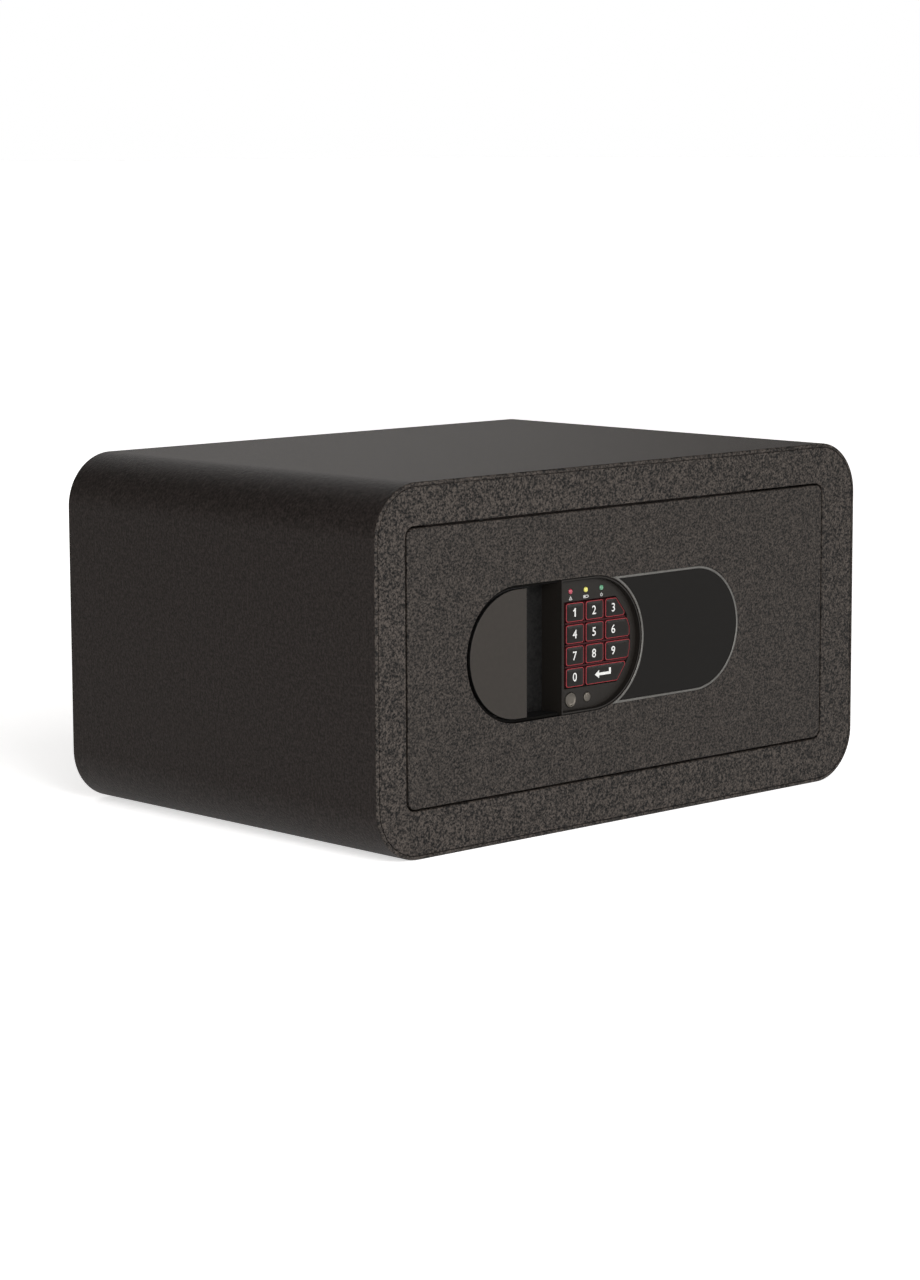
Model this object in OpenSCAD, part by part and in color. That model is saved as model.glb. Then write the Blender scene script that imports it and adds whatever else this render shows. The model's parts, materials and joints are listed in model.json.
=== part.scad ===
// Furniture safe: a small steel cabinet with rounded long edges, a flush door on
// concealed pivots, a finger pocket, a keypad and two motor-driven lock bolts.
// +X right, +Y to the back, +Z up. The origin is the middle of the footprint.
// The front face lies at y = -cab_d / 2. At rest the door is shut, the bolts are drawn back.

/* [Cabinet] */
// Width of the cabinet
cab_w = 380; // [370:1:420]
// Depth of the cabinet
cab_d = 260; // [220:1:400]
// Height of the cabinet
cab_h = 200; // [200:1:220]
// Outside radius of the four long edges
cab_r = 30; // [20:1:32]
// Sheet thickness of the cabinet, back and frame
sheet_t = 2; // [1.5:0.1:2.5]
// Open seam between the front and the edge of the folded body round it
seam = 0.4; // [0.3:0.05:0.6]

/* [Door] */
// Width of the door plate
door_w = 328.4; // [326:0.1:328.4]
// Height of the door plate
door_h = 148.7; // [147:0.1:148.7]
// Left edge of the door plate
door_left = -167.45; // [-167.5:0.05:-167]
// Lower edge of the door plate
door_bottom = 27.15; // [27:0.05:27.5]
// Thickness of the door plate
door_t = 4; // [3:0.5:5]
// Corner radius of the door plate
door_r = 5; // [4:0.5:7]
// Radius of the door plate's front edge
door_edge = 0.6; // [0.4:0.1:0.8]
// Gap between door and frame
door_gap = 1.1; // [1.1:0.1:1.6]

/* [Hinge] */
// Pivot axis, distance in from the door's right edge
pivot_in = 30; // [29:0.5:30]
// Pivot axis, distance behind the front face
pivot_back = 7.5; // [7.4:0.1:7.6]
// Diameter of the hinge pins
pin_d = 5; // [4:0.5:5]

/* [Lock front] */
// Left end of the slot-shaped cut-out in the door
cut_left = -125; // [-126:0.5:-124]
// Right end of the cut-out
cut_right = 9.1; // [8.8:0.1:9.4]
// Height of the cut-out
cut_h = 74.8; // [74.8:0.1:75.4]
// Height of the lock front's centre line above the floor
lock_z = 101.95; // [101.5:0.05:102.5]
// Right edge of the grip plate
grip_right = -80.3; // [-86:0.1:-78]
// Left edge of the keypad housing
pad_left = -54.1; // [-54.5:0.1:-54]
// Depth of the finger pocket
pocket_depth = 15; // [13:0.5:15]
// Depth of the keypad face below the front
pad_recess = 3; // [2.5:0.1:3]

/* [Lock bolts] */
// Diameter of a lock bolt
bolt_d = 16; // [14:1:16]
// Travel of the bolts
bolt_throw = 17; // [14:1:17]
// Distance of each bolt above and below the lock's centre line
bolt_off = 52; // [50:1:52]
// Teeth on the drive pinion
pinion_teeth = 16; // [16:2:16]
// Module of pinion and rack
gear_module = 1.25; // [1.25:0.05:1.25]

/* [Keys] */
// Height of a key
key_h = 10.5; // [10:0.1:10.6]
// Distance between the rows of keys
key_pitch = 12; // [11.8:0.1:12]
// Travel of a key
key_travel = 0.8; // [0.5:0.1:0.8]

/* [Anchors] */
// Diameter of the anchor holes
anchor_d = 10; // [8:1:12]
// Spacing of the base holes across the width
base_x = 240; // [200:10:260]
// Spacing of the base holes across the depth
base_y = 140; // [100:10:160]
// Spacing of the two holes in the back
back_x = 200; // [160:10:240]

/* [Hidden] */
$fn = 96;

front = -cab_d / 2;                     // front face
back = cab_d / 2;                       // rear edge of the shell
door_right = door_left + door_w;
door_top = door_bottom + door_h;
door_mid = (door_bottom + door_top) / 2;
door_back = front + door_t;             // back of the door plate
open_w = door_w + 2 * door_gap;         // door opening in the frame
open_h = door_h + 2 * door_gap;
open_x = (door_left + door_right) / 2;
open_r = door_r + door_gap;
jamb_back = -94;                        // rear edge of the jamb
pivot_x = door_right - pivot_in;
pivot_y = front + pivot_back;
pin_r = pin_d / 2;
tray_l = -161.5;                        // door tray, outside
tray_r = 125;
tray_b = 34;
tray_t = 170;
tray_back = -92;
cover_t = 1.6;
cut_r = cut_h / 2;
cut_lx = cut_left + cut_r;              // centres of the cut-out's round ends
cut_rx = cut_right - cut_r;
pad_y = front + pad_recess;             // keypad face
bolt_y = -109;                          // bolt axis
bolt_z = [lock_z - bolt_off, lock_z + bolt_off];
bolt_tip = tray_l + 0.3;
bolt_end = -100;
car_y = -107.5;                         // front of the carriage plate
car_t = 2;
pitch_r = gear_module * pinion_teeth / 2;
gear_x = 36;
gear_z = 102;
rack_z = gear_z - pitch_r;              // pitch line of the rack
post_at = [[-76, 52], [-76, 152], [14, 81.5]];
boss_at = [[-153, 78], [-153, 126], [-50, 41], [-50, 163], [48, 163], [117, 41], [117, 97]];
stud_at = [[61, 45], [107, 45], [61, 69], [107, 69]];
gbox_screw_at = [[27, 119], [51, 119], [51, 97]];
led_at = [[-43.9, 131.7], [-32, 131.7], [-19.8, 131.7]];
snap_at = [[-44.1, 71.8], [-31.1, 72.1]];
pad_boss_at = [[-49, 134.6], [-49.2, 66.4 + 2.4], [5.2, lock_z]];
paint = [0.24, 0.23, 0.22];
black = [0.06, 0.06, 0.06];
steel = [0.62, 0.63, 0.64];

// Rows of keys: centre heights, first row at the top
row_z = [for (i = [0:3]) 120.1 - i * key_pitch];
k_l = [-48.1, -32.75, -17.4];           // left edges of the three columns
k_r = [-34.25, -18.9];                  // right edges of the first two columns
function top_z(i) = row_z[i] + key_h / 2;
function low_z(i) = row_z[i] - key_h / 2;
function square_key(c, i) = [[k_l[c], low_z(i)], [k_r[c], low_z(i)], [k_r[c], top_z(i)], [k_l[c], top_z(i)]];
key_shape = [
    square_key(0, 3),
    square_key(0, 0), square_key(1, 0), [[k_l[2], low_z(0)], [-0.4, low_z(0)], [-8.9, top_z(0)], [k_l[2], top_z(0)]],
    square_key(0, 1), square_key(1, 1), [[k_l[2], low_z(1)], [1.9, low_z(1)], [1.8, low_z(1) + 5.6], [-0.4, top_z(1)], [k_l[2], top_z(1)]],
    square_key(0, 2), square_key(1, 2), [[k_l[2], low_z(2)], [0.7, low_z(2)], [1.9, low_z(2) + 5], [2.2, top_z(2)], [k_l[2], top_z(2)]],
    [[k_l[1], low_z(3)], [-7.9, low_z(3)], [0, top_z(3)], [k_l[1], top_z(3)]]];
// Where each key's plunger meets the board
key_post = [[-42.1, row_z[3]], [-42.1, row_z[0]], [-26.75, row_z[0]], [-11.5, row_z[0]],
    [-42.1, row_z[1]], [-26.75, row_z[1]], [-9.5, row_z[1]],
    [-42.1, row_z[2]], [-26.75, row_z[2]], [-9.5, row_z[2]], [-18.5, row_z[3]]];
// Corner i of the outline P (anticlockwise), moved in by r
function inset_corner(P, r, i) = let (n = len(P), u = (P[i] - P[(i + n - 1) % n]) / norm(P[i] - P[(i + n - 1) % n]),
    v = (P[(i + 1) % n] - P[i]) / norm(P[(i + 1) % n] - P[i]), m = [-u[1] - v[1], u[0] + v[0]])
    P[i] + r / (1 + u * v) * m;
// Outline of the whole key block
block_shape = [[k_l[0], low_z(3)], [-7.9, low_z(3)], [0, top_z(3)], [0.9, low_z(2)], [2.2, top_z(2)],
    [2, low_z(1) + 5.6], [-0.3, top_z(1)], [-0.4, low_z(0)], [-8.9, top_z(0)], [k_l[0], top_z(0)]];
// The same, grown by g
function block(g) = [for (i = [0:len(block_shape) - 1]) inset_corner(block_shape, -g, i)];

// ---- helpers ----
// A sheet drawn in x and z, t thick, with its front face at y
module sheet(y, t) translate([0, y + t, 0]) rotate([90, 0, 0]) linear_extrude(t) children();
// A round bar along y from y0 to y1
module bar_y(x, z, r, y0, y1) translate([x, y0, z]) rotate([-90, 0, 0]) cylinder(r = r, h = y1 - y0);
// A round bar along x from x0 to x1
module bar_x(y, z, r, x0, x1) translate([x0, y, z]) rotate([0, 90, 0]) cylinder(r = r, h = x1 - x0);
// A round bar along z from z0 to z1
module bar_z(x, y, r, z0, z1) translate([x, y, z0]) cylinder(r = r, h = z1 - z0);
// A block from corner a to corner b
module block_ab(a, b) translate(a) cube([b[0] - a[0], b[1] - a[1], b[2] - a[2]]);
// A rectangle with round corners, by its edges
module rrect(x0, z0, x1, z1, r) {
    translate([x0 + r, z0]) square([x1 - x0 - 2 * r, z1 - z0]);
    translate([x0, z0 + r]) square([x1 - x0, z1 - z0 - 2 * r]);
    for (x = [x0 + r, x1 - r], z = [z0 + r, z1 - r]) translate([x, z]) circle(r);
}
// A slot with round ends from (x0, z) to (x1, z)
module slot2(x0, x1, z, r) {
    translate([x0, z - r]) square([x1 - x0, 2 * r]);
    for (x = [x0, x1]) translate([x, z]) circle(r);
}
// A profile swept round the edge of a round-cornered rectangle. The profile's x runs
// outwards from the corner centre, its y runs to the front.
module rim(x0, z0, x1, z1, r) rotate([90, 0, 0]) {
    for (c = [[x1 - r, z1 - r, 0], [x0 + r, z1 - r, 90], [x0 + r, z0 + r, 180], [x1 - r, z0 + r, 270]])
        translate([c[0], c[1], 0]) rotate(c[2]) rotate_extrude(angle = 90) children();
    translate([x1 - r, z1 - r, 0]) rotate([90, 0, 0]) linear_extrude(z1 - z0 - 2 * r) children();
    translate([x0 + r, z0 + r, 0]) rotate(180) rotate([90, 0, 0]) linear_extrude(z1 - z0 - 2 * r) children();
    translate([x0 + r, z1 - r, 0]) rotate(90) rotate([90, 0, 0]) linear_extrude(x1 - x0 - 2 * r) children();
    translate([x1 - r, z0 + r, 0]) rotate(270) rotate([90, 0, 0]) linear_extrude(x1 - x0 - 2 * r) children();
}
// D shapes: straight on one side, round on the other
module d_left(cx, r, right) intersection() {
    union() {
        translate([cx, lock_z]) circle(r);
        translate([cx, lock_z - r]) square([right - cx, 2 * r]);
    }
    translate([cx - r - 1, lock_z - r - 1]) square([right - cx + r + 1, 2 * r + 2]);
}
module d_right(cx, r, left) intersection() {
    union() {
        translate([cx, lock_z]) circle(r);
        translate([left, lock_z - r]) square([cx - left, 2 * r]);
    }
    translate([left, lock_z - r - 1]) square([cx + r + 1 - left, 2 * r + 2]);
}
module cut_out(g) slot2(cut_lx, cut_rx, lock_z, cut_r + g);
module both_ends() {
    children();
    translate([0, 0, 2 * door_mid]) mirror([0, 0, 1]) children();
}
// A pan-head screw along y: head towards +y at yh, shank going to the front
module pan_screw(x, z, rs, rh, yh, hh, len) {
    bar_y(x, z, rh, yh, yh + hh);
    bar_y(x, z, rs, yh - len, yh);
}

// ---- cabinet ----
module outline2(inset) rrect(-cab_w / 2 + inset, inset, cab_w / 2 - inset, cab_h - inset, cab_r - inset);
module opening2(g) rrect(open_x - open_w / 2 - g, door_mid - open_h / 2 - g, open_x + open_w / 2 + g, door_mid + open_h / 2 + g, open_r + g);
// One folded sheet, open at both ends, with four anchor holes in the base
module body_shell() color(paint) difference() {
    sheet(front, cab_d) difference() { outline2(0); outline2(sheet_t); }
    for (x = [-base_x / 2, base_x / 2], y = [-base_y / 2, base_y / 2]) bar_z(x, y, anchor_d / 2, -1, sheet_t + 1);
}
// Plate welded into the rear end, with two anchor holes
module back_panel() color(paint) sheet(back - sheet_t - 0.5, sheet_t) difference() {
    outline2(sheet_t + 0.1);
    for (x = [-back_x / 2, back_x / 2]) translate([x, cab_h / 2]) circle(anchor_d / 2);
}
// Pressed front set into the folded body, whose edge shows round it: a flange goes
// back against the inside of the body and a jamb goes back round the door
module front_frame() color(paint) difference() {
    union() {
        sheet(front, sheet_t) difference() { outline2(sheet_t + seam); opening2(0); }
        sheet(front + 1, 7) difference() { outline2(sheet_t + 0.06); outline2(sheet_t + 1.6); }
        sheet(front + sheet_t, jamb_back - front - sheet_t) difference() { opening2(sheet_t); opening2(0); }
    }
    for (z = bolt_z) bar_x(bolt_y, z, bolt_d / 2 + 1, open_x - open_w / 2 - 5, open_x - open_w / 2 + 1);
    bar_z(pivot_x, pivot_y, pin_r, 20, 30);
    bar_z(pivot_x, pivot_y, pin_r, 170, 182);
}
// Thick plate outside the left jamb that the bolts lock behind
module strike_plate() color(steel) difference() {
    block_ab([door_left - door_gap - sheet_t - 3, -122, 36], [door_left - door_gap - sheet_t, -96, 168]);
    for (z = bolt_z) bar_x(bolt_y, z, bolt_d / 2 + 1, -180, -165);
}
// Strips in the jamb that the shut door stops against
module door_stops() color(paint) {
    block_ab([door_left - door_gap, -124.6, 40], [-165, -122.6, 163]);
    for (z = [[door_top + door_gap - 4, door_top + door_gap], [door_bottom - door_gap, door_bottom - door_gap + 4]])
        block_ab([-150, -124.6, z[0]], [105, -122.6, z[1]]);
}
// Rubber pads on the stops
module door_buffers() color(black) {
    for (z = [60, 143]) bar_y(-166.7, z, 1.5, -125.7, -124.6);
    for (x = [-110, 60], z = [door_bottom + 1, door_top - 1]) bar_y(x, z, 1.7, -125.7, -124.6);
}
// Pins through the jamb, above and below the door, with their heads outside it
module hinge_pins() color(steel) both_ends() {
    bar_z(pivot_x, pivot_y, pin_r, door_bottom - door_gap - sheet_t, 43);
    bar_z(pivot_x, pivot_y, 4.5, door_bottom - door_gap - sheet_t - 2.2, door_bottom - door_gap - sheet_t);
}
// Felt mat on the floor, cut out round the anchor holes
module floor_mat() color([0.12, 0.12, 0.13]) difference() {
    translate([0, 0, sheet_t]) linear_extrude(3) rrect(-158, -90, 158, 126, 6);
    for (x = [-base_x / 2, base_x / 2], y = [-base_y / 2, base_y / 2]) bar_z(x, y, 12, 0, 8);
}

// ---- door ----
module plate2(inset) rrect(door_left + inset, door_bottom + inset, door_right - inset, door_top - inset, door_r - inset);
module name2(g, bite) difference() {
    union() {
        translate([cut_rx, lock_z - 35.4 + g]) square([53.5 - cut_rx, 70.8 - 2 * g]);
        translate([53.5, lock_z]) circle(35.4 - g);
    }
    translate([cut_rx, lock_z]) circle(bite);
}
// Steel plate with a softened front edge, the cut-out, a shallow seat for the
// nameplate and welded studs behind
module door_plate() color(paint) {
    difference() {
        union() {
            sheet(front + door_edge, door_t - door_edge) plate2(0);
            sheet(front, door_edge) plate2(door_edge);
            rim(door_left, door_bottom, door_right, door_top, door_r) translate([door_r - door_edge, -front - door_edge])
                intersection() { circle(door_edge); square(door_edge + 1); }
        }
        sheet(front - 1, door_t + 2) cut_out(0);
        sheet(front - 1, 2.2) name2(0, 37.9);
    }
    for (p = post_at) difference() {
        bar_y(p[0], p[1], 5, door_back, car_y - 0.25);
        bar_y(p[0], p[1], 1.6, -120, car_y);
    }
    for (p = stud_at) difference() {
        bar_y(p[0], p[1], 2.5, door_back, -118);
        bar_y(p[0], p[1], 1.2, -124, -117);
    }
}
module hinge_blocks() color(paint) both_ends() difference() {
    block_ab([pivot_x - 5.5, door_back, door_bottom + 0.65], [pivot_x + 7, -115, 46]);
    bar_z(pivot_x, pivot_y, 3.4, 20, 50);
}
// Flanged bushes that turn on the pins
module hinge_bushes() color([0.72, 0.56, 0.26]) both_ends() difference() {
    union() {
        bar_z(pivot_x, pivot_y, 3.4, door_bottom - 0.1, 46);
        bar_z(pivot_x, pivot_y, 5, door_bottom - door_gap + 0.1, door_bottom - 0.1);
    }
    bar_z(pivot_x, pivot_y, pin_r + 0.05, 20, 50);
}
// The box welded behind the plate, with webbed bosses for the cover
module door_tray() color(paint) difference() {
    union() {
        sheet(door_back, tray_back - door_back) difference() {
            rrect(tray_l, tray_b, tray_r, tray_t, 4);
            rrect(tray_l + 2, tray_b + 2, tray_r - 2, tray_t - 2, 2);
        }
        for (p = boss_at) {
            bar_y(p[0], p[1], 4.5, door_back, tray_back);
            if (p[0] < -150) block_ab([tray_l + 1, door_back, p[1] - 1], [p[0], tray_back, p[1] + 1]);
            else if (p[1] < 50) block_ab([p[0] - 1, door_back, tray_b + 1], [p[0] + 1, tray_back, p[1]]);
            else if (p[1] > 150) block_ab([p[0] - 1, door_back, p[1]], [p[0] + 1, tray_back, tray_t - 1]);
            else block_ab([p[0], door_back, p[1] - 1], [tray_r - 1, tray_back, p[1] + 1]);
        }
    }
    for (p = boss_at) bar_y(p[0], p[1], 1.7, -104, tray_back + 1);
    for (z = bolt_z) bar_x(bolt_y, z, 9.5, tray_l - 1, tray_l + 3);
}
module inner_cover() color(paint) sheet(tray_back, cover_t) difference() {
    rrect(tray_l, tray_b, tray_r, tray_t, 4);
    for (p = boss_at) translate(p) circle(2);
    translate([55.8, 104.8]) square([63.4, 60.4]);
    translate([100, 57]) circle(4.4);
}
module inner_cover_screws() color(steel) for (p = boss_at) pan_screw(p[0], p[1], 1.7, 3.6, tray_back + cover_t, 2.2, 10);
// Moulded pocket that the fingers reach into
module pocket_housing() color(black) difference() {
    union() {
        sheet(front + 1.8, pocket_depth - 1.8) difference() {
            intersection() { cut_out(-0.15); translate([-140, 0]) square([140 + pad_left, 200]); }
            intersection() { cut_out(-1.6); translate([-140, 0]) square([141 + pad_left, 200]); }
        }
        sheet(front + pocket_depth, 1.6) intersection() { cut_out(-0.15); translate([-140, 0]) square([140 + pad_left, 200]); }
    }
    for (p = grip_post_at) bar_y(p[0], p[1], 1.8, -118, -105);
}
grip_post_at = [[-106, 82], [-106, 122], [-115, lock_z]];
// Flush D-shaped plate, pulled from behind its straight edge
module grip_plate() color([0.27, 0.26, 0.25]) {
    sheet(front, 2.5) d_left(cut_lx + 0.3, 35.2, grip_right);
    for (p = grip_post_at) difference() {
        bar_y(p[0], p[1], 3.2, front + 2.5, front + pocket_depth);
        bar_y(p[0], p[1], 1.5, -121.5, -110);
    }
}
module grip_screws() color(steel) for (p = grip_post_at) pan_screw(p[0], p[1], 1.5, 3.2, front + pocket_depth + 1.6, 1.6, 7.5);
// Moulded D-shaped box that carries the keypad, its face set back behind a rim
module keypad_housing() color([0.2, 0.2, 0.2]) difference() {
    union() {
        difference() {
            sheet(front, 19.6) d_right(cut_rx, 37.25, pad_left);
            sheet(front - 1, pad_recess + 1) intersection() {
                d_right(cut_rx, 35.75, pad_left);
                translate([pad_left + 1.5, 0]) square([100, 200]);
            }
            sheet(pad_y + 1.6, 30) intersection() {
                d_right(cut_rx, 35.75, pad_left);
                translate([pad_left + 1.5, 0]) square([100, 200]);
            }
        }
        for (p = pad_boss_at) bar_y(p[0], p[1], 1.9, pad_y + 1, -121.4);
    }
    sheet(front, 5) polygon(block(0.7));
    for (p = led_at) bar_y(p[0], p[1], 1.6, front, -125);
    bar_y(snap_at[0][0], snap_at[0][1], 4.25, front, -125);
    bar_y(snap_at[1][0], snap_at[1][1], 2.85, front, -125);
    for (p = pad_boss_at) bar_y(p[0], p[1], 0.9, -125, -121);
}
// Soft red mat behind the keys, with thin ribs that stand in the gaps between them
module keypad_mat() color([0.4, 0.05, 0.06]) {
    sheet(-123.8, 1) difference() {
        polygon(block(0.9));
        for (p = key_post) translate(p) circle(2.9);
    }
    rib_w = key_pitch - key_h - 0.7;
    sheet(-127.2, 3.6) {
        translate([(k_r[0] + k_l[1]) / 2 - 0.17, low_z(3)]) square([0.34, top_z(0) - low_z(3)]);
        translate([(k_r[1] + k_l[2]) / 2 - 0.17, low_z(2)]) square([0.34, top_z(0) - low_z(2)]);
        for (i = [0:2]) translate([k_l[0], low_z(i) - 0.35 - rib_w]) square([[47, 49.6, 48][i], rib_w]);
    }
}
// Board that the keys, lamps and contacts work on
module keypad_board() color([0.05, 0.25, 0.12]) {
    sheet(-121.4, 1.6) difference() {
        intersection() { d_right(cut_rx, 35.3, -52); translate([-52.2, 0]) square([100, 200]); }
        for (p = pad_boss_at) translate(p) circle(1);
    }
    block_ab([-31, -119.8, 67.5], [-19, -113.5, 73]);
    block_ab([-36, -119.8, 96], [-24, -118.4, 108]);
}
module keypad_screws() color(steel) for (p = pad_boss_at) pan_screw(p[0], p[1], 0.9, 1.9, -119.8, 1.2, 4.6);
module lamp(p) {
    bar_y(p[0], p[1], 1.5, -126.3, -121.4);
    translate([p[0], -126.3, p[1]]) sphere(1.5);
    bar_y(p[0], p[1], 1.9, -125.2, -124.4);
}
module led_red() color([0.8, 0.15, 0.25]) lamp(led_at[0]);
module led_yellow() color([0.9, 0.85, 0.3]) lamp(led_at[1]);
module led_green() color([0.25, 0.6, 0.4]) lamp(led_at[2]);
// Contact studs for an outside battery
module contact_large() color(steel) difference() {
    union() {
        bar_y(snap_at[0][0], snap_at[0][1], 4.15, -127.5, -125.6);
        bar_y(snap_at[0][0], snap_at[0][1], 2, -125.6, -121.4);
    }
    bar_y(snap_at[0][0], snap_at[0][1], 3.2, -128, -127.2);
}
module contact_small() color(steel) {
    bar_y(snap_at[1][0], snap_at[1][1], 2.75, -128, -125.6);
    bar_y(snap_at[1][0], snap_at[1][1], 1.5, -125.6, -121.4);
}
module nameplate() color(black) sheet(front + 0.2, 1) name2(1.3, 39.2);
module nameplate_trim() color([0.6, 0.59, 0.57]) sheet(front, 1.2) difference() { name2(0, 37.9); name2(1.3, 39.2); }

// ---- inside the door ----
module control_board() color([0.05, 0.25, 0.12]) {
    sheet(-118, 1.6) difference() {
        translate([57, 41]) square([54, 32]);
        for (p = stud_at) translate(p) circle(1.3);
    }
    block_ab([66, -116.4, 52], [80, -114.9, 62]);
    block_ab([97, -116.4, 54], [103, -112.9, 60]);
    bar_y(100, 57, 1.75, -112.9, -111.4);
    block_ab([59, -116.4, 48.2], [65, -109.4, 58]);
    for (x = [86, 93]) bar_y(x, 48, 2.6, -116.4, -108.5);
    block_ab([84, -116.4, 64], [94, -111, 71]);
}
// Flat cable from the keypad board down and across to the control board
module ribbon_cable() color([0.45, 0.45, 0.47]) {
    block_ab([-30, -113.5, 67.6], [-20, -112.7, 72.6]);
    block_ab([-30, -112.7, 67.6], [-20, -109.6, 68.4]);
    block_ab([-30, -110.4, 47.6], [-20, -109.6, 67.6]);
    block_ab([-20, -110.4, 47.6], [58.4, -109.6, 57.6 - 5.6]);
    block_ab([58.4, -109.4 - 1, 48.2], [59, -109.6, 52]);
}
// Leads of the battery holder and of the motor
module wiring_loom() color([0.5, 0.1, 0.1]) {
    for (x = [86.5, 90]) {
        bar_z(x, -113.2, 0.8, 71, 105);
    }
    for (x = [37, 43]) {
        bar_z(x, -116, 0.8, 45.5 + (x - 37) / 3, 54);
        translate([x, -116, 45.5 + (x - 37) / 3]) sphere(0.8);
        bar_x(-116, 45.5 + (x - 37) / 3, 0.8, x, 57);
    }
}
// Box for four cells, put in through the inner cover from the cabinet side
module battery_holder() color(black) difference() {
    union() {
        block_ab([56, -112, 105], [119, -90.4, 165]);
        block_ab([52.5, -90.4, 101.5], [123.5, -89.2, 168.5]);
        for (z = [[101.8, 104], [166, 168.2]]) block_ab([118.2, -89.2, z[0]], [122.6, -85.2, z[1]]);
    }
    block_ab([57.4, -109.6, 106.4], [117.6, -89, 163.6]);
    bar_z(120.4, -87.2, 1.06, 101, 170);
    block_ab([118.1, -89.2, 104], [125, -85, 166]);
}
module battery_contacts() color(steel) {
    for (i = [0:3]) {
        x = 65 + i * 15;
        block_ab([x - 5, -106, 106.4], [x + 5, -96, 107]);
        block_ab([x - 5, -106, 163], [x + 5, -96, 163.6]);
        translate([x, -101, 107]) cylinder(r1 = 3.6, r2 = 2.6, h = 2.4);
    }
}
module batteries() color([0.35, 0.37, 0.4]) for (i = [0:3]) translate([65 + i * 15, -101.6, 0]) {
    translate([0, 0, 109.5]) cylinder(r = 7.2, h = 49.5);
    translate([0, 0, i % 2 == 0 ? 159 : 109.45]) cylinder(r = 2.7, h = i % 2 == 0 ? 1 : 0.1);
}
// Small flat-sided motor, its shaft going up into the gearbox
module drive_motor() color(steel) {
    intersection() {
        bar_z(40, -117, 10, 56, 84);
        block_ab([28, -124.5, 50], [52, -109.5, 90]);
    }
    bar_z(40, -117, 3, 54, 56);
    bar_z(40, -117, 3, 84, 86);
}
// Sealed reduction box on the back of the door plate
module gearbox() color(black) difference() {
    union() {
        block_ab([24, door_back, 86], [54, -109.5, 122]);
        bar_y(gear_x, gear_z, 5, -109.5, -108.2);
    }
    bar_y(gear_x, gear_z, 2.06, -118, -108);
    for (p = gbox_screw_at) bar_y(p[0], p[1], 1.2, -116, -109);
}
// Screws of the gearbox and of the control board
module chassis_screws() color(steel) {
    for (p = gbox_screw_at) pan_screw(p[0], p[1], 1.2, 2.4, -109.5, 1.5, 6);
    for (p = stud_at) pan_screw(p[0], p[1], 1.2, 2.4, -116.4, 1.5, 6);
}
// Switch that feels the carriage in its drawn-back place
module limit_switch() color(black) {
    block_ab([63.5, -109.6, 76], [76, -103.6, 84]);
    for (x = [66.5, 73]) bar_y(x, 80, 2, door_back, -109.6);
    bar_x(-106.6, 81.5, 0.8, 62.5, 63.5);
}
// Flanged guides for the bolts in the tray's wall
module bolt_bushes() color([0.8, 0.78, 0.72]) for (z = bolt_z) difference() {
    union() {
        bar_x(bolt_y, z, 9.5, tray_l, -148);
        bar_x(bolt_y, z, 11.5, tray_l + 2, tray_l + 4);
    }
    bar_x(bolt_y, z, bolt_d / 2 + 0.06, tray_l - 1, -147);
}
// Shoulder screws that the carriage slides on
module guide_screws() color(steel) for (p = post_at) {
    bar_y(p[0], p[1], 1.6, -116, car_y - 0.25);
    bar_y(p[0], p[1], 3, car_y - 0.25, car_y + car_t + 0.25);
    bar_y(p[0], p[1], 5, car_y + car_t + 0.25, car_y + car_t + 2);
}

// ---- drive and bolts ----
module drive_shaft() color(steel) bar_y(gear_x, gear_z, 2, -116, -98.5);
// Involute flank: half the tooth's angle at radius p
function inv(a) = tan(a) * 180 / PI - a;
pr_b = pitch_r * cos(20);
backlash = 0.16;
function half_ang(p) = 90 / pinion_teeth - backlash / 2 / pitch_r * 180 / PI + inv(20) - inv(acos(min(1, pr_b / p)));
module drive_pinion() color([0.75, 0.6, 0.3]) difference() {
    union() {
        sheet(-106.4, 5.4) translate([gear_x, gear_z]) {
            circle(pitch_r - 1.25 * gear_module);
            ra = pitch_r - 1.3 * gear_module;
            rs = [for (i = [0:4]) max(pr_b, ra) + i * (pitch_r + 0.9 * gear_module - max(pr_b, ra)) / 4];
            for (k = [0:pinion_teeth - 1]) rotate(-90 + k * 360 / pinion_teeth)
                polygon(concat([[0.7 * ra * cos(half_ang(rs[0])), -0.7 * ra * sin(half_ang(rs[0]))]],
                    [for (p = rs) [p * cos(half_ang(p)), -p * sin(half_ang(p))]],
                    [for (i = [4:-1:0]) [rs[i] * cos(half_ang(rs[i])), rs[i] * sin(half_ang(rs[i]))]],
                    [[0.7 * ra * cos(half_ang(rs[0])), 0.7 * ra * sin(half_ang(rs[0]))]]));
        }
        bar_y(gear_x, gear_z, 4.5, -101, -99.2);
    }
    bar_y(gear_x, gear_z, 2, -110, -95);
}
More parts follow.
